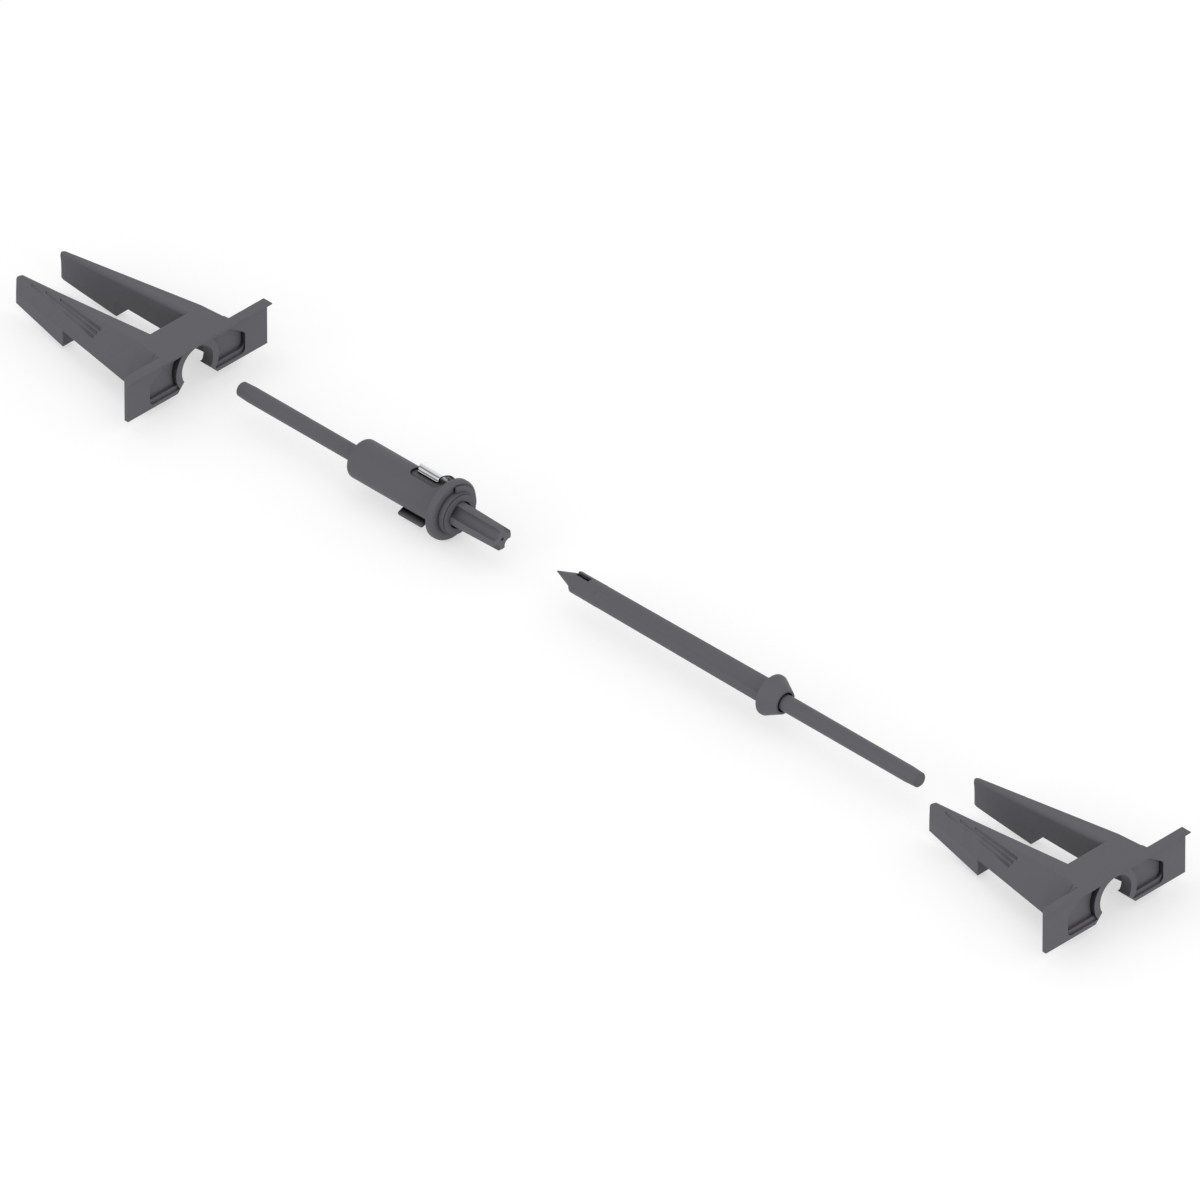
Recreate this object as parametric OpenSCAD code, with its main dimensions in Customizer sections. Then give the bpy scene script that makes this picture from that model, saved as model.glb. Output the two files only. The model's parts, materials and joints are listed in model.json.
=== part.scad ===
// Test probe set: a clip-in connector and a plunger probe on one line, with a snap holder for each end.
// X runs along the common axis, Y is across and Z is up. Z = 0 is the surface that the set lies on.

/* [Set layout] */
// Distance between the front faces of the two holders
holder_pitch = 300; // [290:1:340]
// Front face of holder A to the rear end of the connector
connector_x = 14.5; // [8:0.5:20]
// Front face of holder A to the point of the probe
probe_x = 118.65; // [112:0.05:124]

/* [Holder plate] */
// Width of the front plate
plate_w = 45.6; // [40:0.2:52]
// Height of the plate's top edge over the axis
plate_top = 6.7; // [6.6:0.1:8]
// Depth of the plate's lower edge under the axis
plate_drop = 5.5; // [4.8:0.1:5.9]
// Thickness of the plate's thin wings
plate_t = 1.15; // [0.8:0.05:1.6]
// How far the top lip stands out in front
lip_reach = 1.7; // [1:0.1:2.4]
// Thickness of the lip's front edge
lip_edge = 0.3; // [0.2:0.05:0.6]
// Thickness of the thick middle
block_t = 2.6; // [2.2:0.1:3.2]
// Depth of the two front pockets
pocket_depth = 1.5; // [0.6:0.1:1.6]
// Depth of the ledge along the foot of each pocket
ledge_depth = 0.6; // [0.3:0.1:1]
// Corner radius of the pockets
pocket_r = 1.3; // [0.5:0.1:1.6]
// Height of the shoulder where the middle reaches its full width
shoulder_h = 2; // [1.8:0.1:3.4]

/* [Holder notch] */
// Diameter of the snap notch
notch_d = 10.2; // [10.1:0.05:10.6]
// How far the notch's centre lies under the common axis
notch_low = 0.5; // [0:0.1:0.8]
// Width of the notch's mouth at its lips
mouth_w = 8.7; // [7.6:0.1:9.2]
// Width of the lead-in at the plate's lower edge
flare_w = 13; // [11:0.2:15]
// Length of the notch along the axis
notch_len = 3.2; // [2.8:0.1:4.4]
// Wall round the notch
notch_wall = 1.9; // [1.4:0.1:2.2]
// Depth of the two foot ribs beside the notch, behind the front face
foot_len = 4.85; // [4:0.05:6]
// Height of the foot ribs
foot_h = 1.1; // [0.8:0.1:1.6]

/* [Holder legs] */
// Reach of the legs behind the plate
leg_len = 52.9; // [46:0.1:60]
// Web between the legs, measured back from the plate
web_len = 9.4; // [7:0.1:14]
// Thickness of the web
web_t = 1.3; // [1:0.1:1.8]
// Half the gap between the legs at the web
gap_half = 5.35; // [5.1:0.05:5.8]
// Half the gap between the legs at their tips
tip_gap_half = 5.95; // [5.6:0.05:6.6]
// How much a leg's inner face leans outwards from top to foot
leg_draft = 0.7; // [0:0.05:0.8]
// Thickness of a leg's top edge at its tip
tip_t = 1.25; // [1.1:0.05:1.6]
// Bevel of a leg's inner edge at its tip, along the leg
tip_bevel = 1.1; // [0.4:0.1:2.4]
// Radius of a leg's upper corner at its tip
tip_r = 1.5; // [1:0.1:2]
// Largest radius of a leg's inner top edge
edge_r = 1.3; // [0.8:0.1:2.2]
// Height of a leg's top edge at its tip
tip_top = 2.8; // [2:0.1:4]
// Depth of a leg's lower edge at its tip
tip_drop = 5.3; // [4.5:0.1:6]
// Depth of a leg's lower edge between barb and plate
leg_drop = 2.4; // [2:0.1:3]
// Outer edge of a leg's top at the plate
leg_top_out = 11.2; // [10.6:0.1:13]
// Outer edge of a leg's foot at the plate
leg_foot_out = 16.5; // [15.4:0.1:18]
// Barb's holding face, measured back from the plate
barb_x = 34; // [30:0.5:38]
// Depth of the barb under the axis
barb_drop = 6.8; // [5.8:0.1:7.2]
// Wall of the hollow part of a leg
leg_wall = 1.2; // [0.9:0.1:1.6]
// Diameter of the rod-shaped grip grooves in a leg's outer face
groove_d = 1; // [0.6:0.05:1.2]
// Start of the first grip groove, measured back from the plate
groove_start = 47.5; // [46:0.1:49]
// End of the first grip groove, measured back from the plate
groove_stop = 23.5; // [20:0.1:26]
// Distance between the starts of the grip grooves
groove_pitch = 5.2; // [4:0.1:6]

/* [Connector body] */
// Diameter of both stems
stem_d = 4.1; // [3.8:0.05:4.3]
// Free length of the connector's stem
connector_stem_len = 39.4; // [30:0.2:50]
// Diameter of the metal core in a stem
core_d = 1.2; // [0.8:0.1:1.6]
// Diameter of the stem's seat in the housing's rear wall
stem_seat_d = 3.5; // [3:0.1:3.6]
// Outer diameter of the housing
housing_d = 10.04; // [9.8:0.02:10.08]
// Length of the housing up to the flange
housing_len = 29; // [26:0.1:34]
// Bore of the housing
housing_bore = 8; // [7.8:0.1:8.2]
// Thickness of the housing's rear wall
rear_wall = 3.2; // [2.4:0.1:4.5]
// Draft of the housing's radius from the clip to the flange
front_draft = 0.05; // [0.02:0.01:0.1]
// Diameter of the flange
flange_d = 15.4; // [14:0.1:17]
// Thickness of the flange, with its rounded front edge
flange_t = 1.8; // [1.5:0.1:2.4]
// Diameter of the nose bush in front of the flange
nose_d = 9.6; // [9.2:0.1:10]
// Length of the nose bush in front of the flange
nose_len = 2.1; // [1.9:0.1:3]
// Length of the nose bush's sleeve inside the housing
sleeve_len = 4; // [3:0.2:5]
// Depth of the flange's rear recess for the housing's end
flange_seat = 0.45; // [0.3:0.05:0.6]

/* [Connector clip] */
// Length of the clip along the axis
clip_len = 7.4; // [6:0.1:8.4]
// Rear end of the clip, measured from the housing's rear face
clip_x = 17.8; // [15:0.1:18]
// Thickness of the clip's sheet
clip_t = 0.35; // [0.25:0.05:0.5]
// Outer radius of the bow
clip_r = 5.8; // [5.7:0.05:6.2]
// How far the bow's centre lies off the axis
clip_off = 1.1; // [1:0.05:1.3]
// Reach of the release tab from the bow
tab_len = 3.1; // [1.5:0.1:3.2]
// How far the tab is set back along the axis
tab_shift = 1.5; // [0:0.1:2]
// Depth of the groove that the clip lies in
groove_depth = 0.42; // [0.3:0.02:0.5]
// Angle from the top to the groove's upper edge
groove_edge = 16; // [8:1:24]
// Corner radius of the groove's upper edge
groove_corner = 1.2; // [0.5:0.1:1.4]
// Width of the foot that the clip's lip stands on
lip_foot = 0.8; // [0.4:0.1:1]

/* [Connector spigot] */
// Diameter over the ribs at the mouth
spigot_d = 6.8; // [6.2:0.1:6.9]
// Diameter over the ribs at the free end
spigot_end_d = 6.2; // [5.6:0.1:6.4]
// Reach of the spigot in front of the nose bush
spigot_reach = 13.8; // [10:0.2:18]
// Radius of the four grooves between the ribs
rib_groove_r = 1.5; // [0.9:0.1:1.6]
// Bore of the contact sleeve
contact_bore = 0.9; // [0.6:0.05:1]
// Outer diameter of the contact sleeve
contact_d = 1.8; // [1.6:0.1:2]
// Plastic left in front of the contact sleeve
contact_cover = 1.2; // [0.8:0.1:2]
// Thickness of the spigot's head
head_t = 3; // [2:0.2:4]

/* [Lock ring] */
// Wall of the ring round the nose bush
ring_wall = 0.4; // [0.3:0.05:0.5]
// Length of the ring
ring_len = 1.5; // [1.2:0.1:1.6]
// Outer radius of the raised sector
sector_r = 6.7; // [6.6:0.1:7]
// Thickness of the raised sector
sector_t = 0.6; // [0.5:0.05:1]
// Angle that the raised sector spans
sector_angle = 98; // [70:1:120]
// Angle that the ring turns through
ring_turn = 45; // [30:1:60]

/* [Probe] */
// Length of the conical point
point_len = 6.3; // [5:0.05:8]
// Diameter of the cone's base
point_d = 4.44; // [4.2:0.02:4.8]
// Diameter of the blunt end of the point
point_blunt = 0.3; // [0.2:0.05:0.6]
// Diameter of the barrel at its front end
barrel_front_d = 5.55; // [5.3:0.05:5.8]
// Diameter of the barrel at the collar
barrel_rear_d = 6.6; // [6.4:0.05:7]
// Length of the barrel up to the collar's rear face
barrel_len = 63.3; // [56:0.1:72]
// Width of the slot in the barrel's front end
slot_w = 1.4; // [0.6:0.1:1.6]
// Length of the slot
slot_len = 4.5; // [3:0.1:6]
// Radius of the four flutes along the barrel
flute_r = 2.4; // [2:0.1:3]
// Distance of the flutes' floor from the axis
flute_floor = 2.74; // [2.72:0.01:2.82]
// Diameter of the collar
collar_d = 10.3; // [9:0.1:11]
// Length of the collar
collar_len = 4.8; // [4.2:0.1:6]
// Length of the collar's cylindrical rim
collar_rim = 0.7; // [0.4:0.1:1]
// Diameter of the collar's front face
collar_face_d = 6.1; // [5.5:0.1:6.4]
// Diameter of the recess round the stem in the collar's front face
recess_d = 5; // [4.7:0.1:5.2]
// Free length of the probe's stem
probe_stem_len = 43.8; // [34:0.2:54]
// Diameter of the stem's bearing part inside the barrel
bearing_d = 3.7; // [3.5:0.05:3.7]
// Length of the stem's bearing part behind the collar's rear face
bearing_len = 9; // [6:0.5:12]
// Length of the core rod inside the stem
rod_grip = 8; // [5:0.5:9]
// Travel of point, rod and stem
plunger_travel = 4; // [2:0.5:5]
// Length of the return spring at rest
return_len = 18; // [12:0.5:30]

/* [Springs] */
// Wire diameter of both springs
wire_d = 0.4; // [0.3:0.05:0.5]
// Number of turns in each spring
turns = 9; // [6:1:12]

/* [Fits] */
// Radial clearance of a sliding or turning fit
run_gap = 0.05; // [0.02:0.01:0.08]
// Radial clearance of a glued or pressed seat
seat_gap = 0.02; // [0.01:0.01:0.03]
// End clearance between faces that come together
end_gap = 0.05; // [0.03:0.01:0.1]

/* [Hidden] */
$fn = 64;
axis_z = max(flange_d / 2, barb_drop);
mid_x = (holder_pitch + lip_reach - leg_len) / 2;

// Connector stations along the axis, from holder A's front face
housing_x = connector_x + connector_stem_len;
flange_x = housing_x + housing_len;
flange_front = flange_x + flange_t;
nose_front = flange_front + nose_len;
sleeve_x = flange_x - sleeve_len;
spring_seat_t = 1.2;
spring_seat_x = housing_x + rear_wall + end_gap;
head_x = sleeve_x - end_gap - head_t;
spigot_end = nose_front + spigot_reach;
nose_bore = spigot_d + 2 * run_gap;
head_d = housing_bore - 2 * run_gap;
groove_floor = housing_d / 2 - groove_depth;
groove_margin = 0.8;
clip_rear = housing_x + clip_x;
ring_x = flange_front + run_gap;
ring_in = nose_d / 2 + run_gap;
key_r = 6.1;
key_d = 0.8;
key_len = 0.6;

// Probe stations
barrel_x = probe_x + point_len;
collar_x = barrel_x + barrel_len;
collar_front = collar_x + collar_len;
stem_end = collar_front + probe_stem_len;
barrel_bore = bearing_d + 2 * run_gap;
stem_bore = stem_d + 2 * run_gap;
tail_d = stem_bore + 1.2;
stem_x = collar_x - bearing_len;
washer_t = 0.8;
washer_x = stem_x - washer_t;
guide_len = 4;
guide_x = washer_x - return_len - guide_len;
socket_len = 2;
rod_bore_seat = core_d + 2 * seat_gap;
rod_end = stem_x + rod_grip;
stop_x = collar_front - plunger_travel;

// ---------- helpers ----------

// Moves a shape that is drawn along +Z onto the common axis at station x.
module on_axis(x) {
  translate([x - mid_x, 0, axis_z]) rotate([0, 90, 0]) children();
}

// Part of a ring, from angle a to angle b, both measured from the top towards +Y.
module ring_sector(r_in, r_out, a, b, h) {
  rotate([0, 0, 180 - b]) rotate_extrude(angle = b - a)
    translate([r_in, 0]) square([r_out - r_in, h]);
}

// Tube with plain ends.
module tube(d_out, d_in, h) {
  difference() {
    cylinder(d = d_out, h = h);
    translate([0, 0, -1]) cylinder(d = d_in, h = h + 2);
  }
}

// Outline with every corner rounded in three chords.
function rounded(pts, r) =
  [for (i = [0:len(pts) - 1])
    let (b = pts[i], a = pts[(i + len(pts) - 1) % len(pts)] - b, c = pts[(i + 1) % len(pts)] - b,
         u = a / norm(a), v = c / norm(c), half = acos(u * v) / 2,
         centre = b + (u + v) / norm(u + v) * r / sin(half),
         from = b + u * r / tan(half) - centre, to = b + v * r / tan(half) - centre)
    for (t = [0:3]) let (w = from * (1 - t / 3) + to * t / 3) centre + w * r / norm(w)];

// Solid skin through cross-sections that all have the same number of points.
module loft(sections) {
  n = len(sections[0]);
  last = len(sections) - 1;
  points = [for (s = sections) for (p = s) p];
  side_a = [for (i = [0:last - 1], j = [0:n - 1])
            [i * n + j, (i + 1) * n + j, (i + 1) * n + (j + 1) % n]];
  side_b = [for (i = [0:last - 1], j = [0:n - 1])
            [i * n + j, (i + 1) * n + (j + 1) % n, i * n + (j + 1) % n]];
  rear = [[for (j = [0:n - 1]) j]];
  front = [[for (j = [n - 1:-1:0]) last * n + j]];
  polyhedron(points, concat(rear, side_a, side_b, front));
}

// Round-wire helix along +Z, as rings of a six-sided wire.
module coil(mean_r, length) {
  sides = 6;
  steps = 12;
  rings = turns * steps;
  rise = length - wire_d;
  function ring_point(i, j) =
    let (a = 360 * i / steps, b = 360 * j / sides, r = mean_r + wire_d / 2 * cos(b))
    [r * cos(a), r * sin(a), wire_d / 2 + rise * i / rings + wire_d / 2 * sin(b)];
  points = [for (i = [0:rings], j = [0:sides - 1]) ring_point(i, j)];
  side_a = [for (i = [0:rings - 1], j = [0:sides - 1])
            [i * sides + j, (i + 1) * sides + j, (i + 1) * sides + (j + 1) % sides]];
  side_b = [for (i = [0:rings - 1], j = [0:sides - 1])
            [i * sides + j, (i + 1) * sides + (j + 1) % sides, i * sides + (j + 1) % sides]];
  ends = [[for (j = [0:sides - 1]) j], [for (j = [sides - 1:-1:0]) rings * sides + j]];
  polyhedron(points, concat(side_a, side_b, ends));
}

// ---------- holder ----------

// Height and outer edges of a leg at distance x behind the plate, in straight lines from tip to plate.
function along(x, at_plate, at_tip) = at_plate + (at_tip - at_plate) * x / leg_len;
function leg_top(x) = x < web_len ? plate_top : plate_top
    + (tip_top - plate_top) * (x - web_len) / (leg_len - web_len);
function leg_inner(x) = x < web_len ? gap_half + (web_len - x) * 0.13
    : gap_half + (tip_gap_half - gap_half) * (x - web_len) / (leg_len - web_len);
function leg_outer_top(x) = along(x, leg_top_out, tip_gap_half + tip_t);
function leg_outer_foot(x) = along(x, leg_foot_out, tip_gap_half + tip_t + 0.2);

// The inner face leans evenly, so that it stays one plane from top to foot.
function inner_y(x, z) = leg_inner(x) + leg_draft * (leg_top(x) - z) / (leg_top(x) + leg_drop);
function inner_edge(x, bevel) =
  let (r = min(edge_r, 0.6 * (leg_outer_top(x) - leg_inner(x))))
  [for (a = [90:-18:0]) let (z = leg_top(x) - r * (1 - sin(a)))
    [bevel - x, inner_y(x, z) + r * (1 - cos(a)), z]];

// Cross-section of the leg between barb and plate.
function shell_section(x) = concat(inner_edge(x, 0),
  [[-x, inner_y(x, -leg_drop), -leg_drop],
   [-x, leg_outer_foot(x), -leg_drop],
   [-x, leg_outer_top(x), leg_top(x)]]);

// Cross-section of its hollow, open at the foot.
function hollow_section(x) =
  let (slope = (leg_outer_foot(x) - leg_outer_top(x)) / (leg_top(x) + leg_drop),
       foot = -leg_drop - 1)
  [[-x, leg_inner(x) + leg_wall, leg_top(x) - leg_wall],
   [-x, inner_y(x, foot) + leg_wall, foot],
   [-x, leg_outer_foot(x) + slope - 1.1 * leg_wall, foot],
   [-x, leg_outer_top(x) + (slope - 1.1) * leg_wall, leg_top(x) - leg_wall]];

// Cross-section of the solid front of the leg, from barb to tip.
function blade_drop(x) = tip_drop + (barb_drop - tip_drop) * (leg_len - x) / (leg_len - barb_x);
function blade_section(x, bevel = 0) = concat(inner_edge(x, bevel),
  [[bevel - x, inner_y(x, -blade_drop(x)), -blade_drop(x)],
   [-x, leg_outer_foot(x), -blade_drop(x)],
   [-x, leg_outer_foot(x), -leg_drop],
   [-x, leg_outer_top(x), leg_top(x)]]);

// Point on the leg's outer face, at share t of the way from its top edge to its foot.
function on_face(x, t) =
  [-x, leg_outer_top(x) + (leg_outer_foot(x) - leg_outer_top(x)) * t,
   leg_top(x) - (leg_top(x) + leg_drop) * t];

module rod_between(a, b, d) {
  v = b - a;
  translate(a) rotate([0, acos(v[2] / norm(v)), atan2(v[1], v[0])])
    cylinder(d = d, h = norm(v), $fn = 16);
}

// Distances behind the plate from a to b, in n equal steps.
function steps(a, b, n) = [for (i = [0:n]) a + (b - a) * i / n];

module leg() {
  blade_at = steps(leg_len, barb_x, 3);
  shell_at = concat(steps(barb_x, web_len, 3), [plate_t / 2]);
  hollow_at = [barb_x - leg_wall, web_len, block_t + 0.4];
  difference() {
    union() {
      loft([for (x = blade_at) blade_section(x, x == leg_len ? tip_bevel : 0)]);
      loft([for (x = shell_at) shell_section(x)]);
    }
    loft([for (x = hollow_at) hollow_section(x)]);
    // Grip grooves start shallow at the sloping top edge and end above one another.
    for (g = [0:2])
      rod_between(on_face(groove_start - groove_pitch * g, 0.125 - 0.035 * g) + [0, 0.3, 0.15],
                  on_face(groove_stop - 0.85 * g, 0.527 - 0.154 * g) + [0, 0.1, 0.05], groove_d);
    // Rounded upper corner of the tip
    translate([-leg_len, 0, leg_top(leg_len)]) rotate([-90, 0, 0]) difference() {
      translate([-1, -1, 0]) cube([tip_r + 1, tip_r + 1, plate_w]);
      translate([tip_r, tip_r, -1]) cylinder(r = tip_r, h = plate_w + 2, $fn = 32);
    }
  }
}

module notch_cutter() {
  lip_z = -notch_low - sqrt(pow(notch_d / 2, 2) - pow(mouth_w / 2, 2));
  depth = foot_len + 1;
  translate([-depth, 0, -notch_low]) rotate([0, 90, 0]) cylinder(d = notch_d, h = depth + 3);
  translate([-depth, 0, 0]) rotate([90, 0, 90]) linear_extrude(depth + 3)
    polygon([[-mouth_w / 2, lip_z], [mouth_w / 2, lip_z], [flare_w / 2, -plate_drop],
             [flare_w / 2, -plate_drop - 1], [-flare_w / 2, -plate_drop - 1],
             [-flare_w / 2, -plate_drop]]);
}

// Outline of the right-hand front pocket in the Y-Z plane, kept clear of the notch's wall.
module pocket_outline(floor_z) {
  difference() {
    polygon(rounded([[3, floor_z], [15.6, floor_z], [15.6, 1.1], [10.8, 4.4], [3, 4.4]], pocket_r));
    translate([0, -notch_low]) circle(d = notch_d + 2 * notch_wall);
  }
}

module pockets() {
  for (side = [0, 1]) mirror([0, side, 0]) rotate([90, 0, 90]) {
    translate([0, 0, -ledge_depth]) linear_extrude(ledge_depth + 1) pocket_outline(-4.5);
    translate([0, 0, -pocket_depth]) linear_extrude(pocket_depth + 1) pocket_outline(-3.4);
  }
}

module holder() {
  web_half = gap_half + edge_r + 1.4;
  difference() {
    union() {
      translate([-plate_t, -plate_w / 2, -plate_drop]) cube([plate_t, plate_w, plate_drop + plate_top]);
      // Thick middle, as wide as the roots of the legs
      translate([-block_t, 0, 0]) rotate([90, 0, 90]) linear_extrude(block_t)
        polygon([[leg_top_out, plate_top], [leg_foot_out, shoulder_h], [leg_foot_out, -plate_drop],
                 [-leg_foot_out, -plate_drop], [-leg_foot_out, shoulder_h], [-leg_top_out, plate_top]]);
      // Foot ribs
      for (side = [0, 1]) mirror([0, side, 0]) translate([-foot_len, mouth_w / 2, -plate_drop])
        cube([foot_len, leg_foot_out - mouth_w / 2, foot_h]);
      // Wedge lip along the top of the plate
      translate([0, plate_w / 2, plate_top]) rotate([90, 0, 0]) linear_extrude(plate_w)
        polygon([[-plate_t, 0], [-plate_t, -lip_reach - lip_edge], [0, -lip_reach - lip_edge],
                 [lip_reach, -lip_edge], [lip_reach, 0]]);
      // Web between the legs
      translate([-web_len, -web_half, plate_top - web_t]) cube([web_len, 2 * web_half, web_t]);
      // Boss round the notch, cut off level with the plate's edges
      intersection() {
        translate([-notch_len, 0, -notch_low]) rotate([0, 90, 0])
          cylinder(d = notch_d + 2 * notch_wall, h = notch_len);
        translate([-notch_len, -plate_w / 2, -plate_drop])
          cube([notch_len, plate_w, plate_drop + plate_top]);
      }
      leg();
      mirror([0, 1, 0]) leg();
    }
    notch_cutter();
    pockets();
  }
}

module holder_a() {
  color("#606065") translate([-mid_x, 0, axis_z]) holder();
}

module holder_b() {
  color("#606065") translate([holder_pitch - mid_x, 0, axis_z]) holder();
}

// ---------- connector ----------

// Stem with a slightly tapered end at z = 0, a thinner seat at its other end and a bore for its core.
module stem_blank(length, seat_d, seat_len, bore_start) {
  taper = 3.6;
  end_d = stem_d - 0.37;
  edge = 0.25;
  difference() {
    rotate_extrude() polygon([[0, 0], [end_d / 2 - edge, 0], [end_d / 2, edge],
                              [stem_d / 2, taper], [stem_d / 2, length - seat_len],
                              [seat_d / 2, length - seat_len], [seat_d / 2, length], [0, length]]);
    translate([0, 0, bore_start]) cylinder(d = rod_bore_seat, h = length);
  }
}

module connector_stem() {
  color("#5e5e63") on_axis(connector_x)
    stem_blank(connector_stem_len + rear_wall - end_gap, stem_seat_d, rear_wall, 4);
}

module stem_core() {
  color("#c9a24a") on_axis(connector_x + 4 + end_gap)
    cylinder(d = core_d, h = connector_stem_len + rear_wall - 4 - 2 * end_gap);
}

module connector_housing() {
  edge = 0.9;
  clip_from = clip_x - groove_margin;
  groove_len = clip_len + 2 * groove_margin + 0.3;
  upper_y = -groove_floor * sin(groove_edge);
  color("#5c5c61") on_axis(housing_x) difference() {
    rotate_extrude() polygon(concat(
      [[0, 0]],
      [for (a = [0:15:90]) [housing_d / 2 - edge + edge * sin(a), edge - edge * cos(a)]],
      [[housing_d / 2, clip_from], [housing_d / 2 - front_draft, housing_len + flange_seat],
       [0, housing_len + flange_seat]]));
    translate([0, 0, -1]) cylinder(d = stem_seat_d + 2 * seat_gap, h = rear_wall + 2);
    translate([0, 0, rear_wall]) cylinder(d = housing_bore, h = housing_len);
    // Groove for the clip, with rounded corners at its upper edge
    translate([0, 0, clip_from]) intersection() {
      ring_sector(groove_floor, housing_d, -50, 230, groove_len);
      union() {
        translate([-housing_d, 0, 0]) rotate([90, 0, 90]) linear_extrude(housing_d)
          polygon(rounded([[upper_y, 0], [2 * housing_d, 0], [2 * housing_d, groove_len],
                           [upper_y, groove_len]], groove_corner));
        translate([0, -housing_d, -1]) cube([housing_d, 3 * housing_d, groove_len + 2]);
      }
    }
  }
}

module nose_flange() {
  round_r = 0.9;
  track = ring_turn;
  color("#5a5a5f") on_axis(flange_x) difference() {
    union() {
      translate([0, 0, -sleeve_len]) cylinder(d = housing_bore - 2 * seat_gap, h = sleeve_len + 1);
      rotate_extrude() polygon(concat(
        [[0, end_gap], [flange_d / 2, end_gap], [flange_d / 2, flange_t - round_r]],
        [for (a = [15:15:90])
          [flange_d / 2 - round_r + round_r * cos(a), flange_t - round_r + round_r * sin(a)]],
        [[0, flange_t]]));
      cylinder(d = nose_d, h = flange_t + nose_len);
      // Bead that keeps the lock ring on
      translate([0, 0, flange_t + ring_len + 3 * run_gap])
        cylinder(d = nose_d + 0.5, h = nose_len - ring_len - 3 * run_gap);
    }
    // Seat for the housing's end
    difference() {
      translate([0, 0, -1]) cylinder(d = housing_d + 2 * seat_gap, h = flange_seat + end_gap + 1);
      translate([0, 0, -2]) cylinder(d = housing_bore - 2 * seat_gap, h = flange_seat + end_gap + 3);
    }
    translate([0, 0, -sleeve_len - 1]) cylinder(d = nose_bore, h = sleeve_len + flange_t + nose_len + 2);
    // Curved track for the lock ring's key
    translate([0, 0, flange_t - key_len - run_gap])
      ring_sector(key_r - key_d / 2 - run_gap, key_r + key_d / 2 + run_gap,
                  sector_angle / 2 - track - 6, sector_angle / 2 + 6, key_len + 1);
  }
}

module lock_ring() {
  start = 2;
  color("#636368") on_axis(ring_x) {
    difference() {
      union() {
        cylinder(r = ring_in + ring_wall, h = ring_len);
        ring_sector(ring_in, sector_r, start, start + sector_angle, sector_t);
        rotate([0, 0, 180 - sector_angle / 2]) translate([key_r, 0, -key_len + run_gap])
          cylinder(d = key_d, h = key_len + 0.2, $fn = 24);
      }
      translate([0, 0, -1]) cylinder(r = ring_in, h = ring_len + 2);
    }
  }
}

// The bow stands off the housing's back. Its lip above and its lower end carry it on the groove's floor.
module spring_clip() {
  bow_dir = 64;
  bow_end = 205;
  neck = 1.3;
  lip_inset = 0.7;
  lip_len = clip_r + clip_off * cos(bow_dir) - groove_floor - end_gap;
  color("#c8cacc") on_axis(clip_rear) {
    translate([-clip_off * cos(bow_dir), clip_off * sin(bow_dir), 0]) {
      ring_sector(clip_r - clip_t, clip_r, 0, bow_end, clip_len);
      // Release tab, bent outwards at the lower end
      rotate([0, 0, 180 - bow_end]) translate([clip_r - clip_t / 2, -clip_t / 2, 0]) {
        rotate([0, 0, -45]) {
          translate([-clip_t / 2, 0, 0]) cube([neck + clip_t / 2, clip_t, clip_len]);
          translate([neck - 0.1, 0, -tab_shift]) cube([tab_len - neck, clip_t, clip_len + tab_shift / 2]);
        }
      }
    }
    // Lip at the free upper edge, narrower than the bow
    translate([-clip_r - clip_off * cos(bow_dir), clip_off * sin(bow_dir) - clip_t / 2, lip_inset])
      cube([lip_len, clip_t, clip_len - 2 * lip_inset]);
    // Foot of the lip, bent outwards
    translate([-groove_floor - end_gap - clip_t, clip_off * sin(bow_dir) + clip_t / 2 - lip_foot, lip_inset])
      cube([clip_t, lip_foot, clip_len - 2 * lip_inset]);
  }
}

module spring_seat() {
  color("#b89a52") on_axis(spring_seat_x) {
    cylinder(d = housing_bore - 2 * seat_gap, h = spring_seat_t / 2);
    cylinder(d = contact_d + 1.6, h = spring_seat_t + 1);
  }
}

module spigot_spring() {
  start = spring_seat_x + spring_seat_t / 2 + end_gap;
  color("#9fa2a6") on_axis(start) coil(housing_bore / 2 - wire_d, head_x - start - end_gap);
}

module ribbed_spigot() {
  straight = nose_front - head_x;
  groove_at = spigot_end_d / 2 + 0.05;
  color("#616166") on_axis(head_x) difference() {
    rotate_extrude() polygon([[0, 0], [head_d / 2, 0], [head_d / 2, head_t], [spigot_d / 2, head_t],
                              [spigot_d / 2, straight], [spigot_end_d / 2, straight + spigot_reach - 0.4],
                              [spigot_end_d / 2 - 0.35, straight + spigot_reach],
                              [0, straight + spigot_reach]]);
    translate([0, 0, -1])
      cylinder(d = contact_d + 2 * seat_gap, h = straight + spigot_reach - contact_cover + 1);
    cylinder(d = contact_bore, h = straight + spigot_reach + 1);
    for (i = [0:3]) rotate([0, 0, 45 + 90 * i]) translate([groove_at, 0, head_t + 0.8])
      cylinder(r = rib_groove_r, h = straight + spigot_reach);
  }
}

module contact_sleeve() {
  color("#c9a24a") on_axis(head_x)
    tube(contact_d, contact_bore, spigot_end - head_x - contact_cover - end_gap);
}

// ---------- probe ----------

module probe_point() {
  shank = 1.2;
  color("#606065") on_axis(probe_x) difference() {
    union() {
      cylinder(d1 = point_blunt, d2 = point_d, h = point_len - end_gap);
      translate([0, 0, point_len - end_gap - 0.5]) cylinder(d = barrel_bore - 0.3, h = shank + 0.5);
    }
    translate([0, 0, 4]) cylinder(d = rod_bore_seat, h = point_len);
  }
}

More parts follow.
